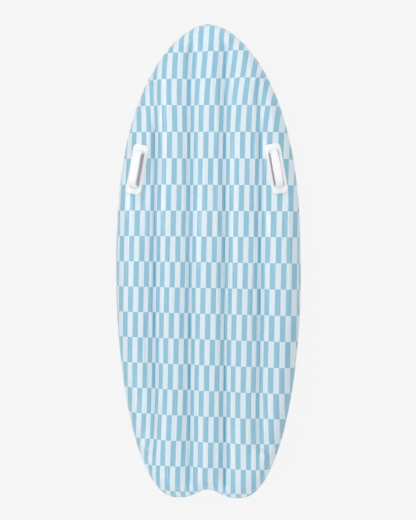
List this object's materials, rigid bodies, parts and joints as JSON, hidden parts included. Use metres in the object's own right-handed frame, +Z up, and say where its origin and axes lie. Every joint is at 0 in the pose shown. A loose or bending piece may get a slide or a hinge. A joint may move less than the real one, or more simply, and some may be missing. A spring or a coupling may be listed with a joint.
{
  "type": "inflatable bodyboard",
  "caption": "Inflatable lie-on board with welded air tubes, a rounded nose, a fishtail, two moulded handles and a push-in inflation valve underneath.",
  "frame": {"origin": "on the ground under the middle of the board, at the lowest plane of its underside", "axes": "+Y towards the nose, +Z up through the deck, +X across to the rider's right when lying head to the nose"},
  "size_m": [0.626, 1.6, 0.1724],
  "materials": {
    "printed_vinyl": "semi-gloss",
    "plain_vinyl": "semi-gloss",
    "web_vinyl": "satin",
    "moulded_vinyl": "satin",
    "valve_vinyl": "satin"
  },
  "bodies": {
    "board": {"top_skin": "printed_vinyl", "bottom_skin": "plain_vinyl", "web_left_outer": "web_vinyl", "web_left_inner": "web_vinyl", "web_right_inner": "web_vinyl", "web_right_outer": "web_vinyl", "handle_left_base": "moulded_vinyl", "handle_left_grip": "moulded_vinyl", "handle_right_base": "moulded_vinyl", "handle_right_grip": "moulded_vinyl", "valve_base": "valve_vinyl", "valve_sleeve": "valve_vinyl"},
    "stem": {"valve_stem": "valve_vinyl", "valve_tether": "moulded_vinyl"},
    "plug": {"valve_plug": "moulded_vinyl"},
    "flap": {"valve_flap": "valve_vinyl"}
  },
  "joints": [
    {"name": "stem_pull", "type": "slide", "parent": "board", "child": "stem", "axis": [0, 0, -1], "range_m": [0, 0.014], "deforming": ["valve_sleeve"]},
    {"name": "plug_pull", "type": "slide", "parent": "stem", "child": "plug", "axis": [0, 0, -1], "range_m": [0, 0.01], "deforming": ["valve_tether"]},
    {"name": "flap_swing", "type": "hinge", "parent": "stem", "child": "flap", "pos_m": [0, -0.6766, 0.0257], "axis": [-1, 0, 0], "range_deg": [0, 60]}
  ]
}
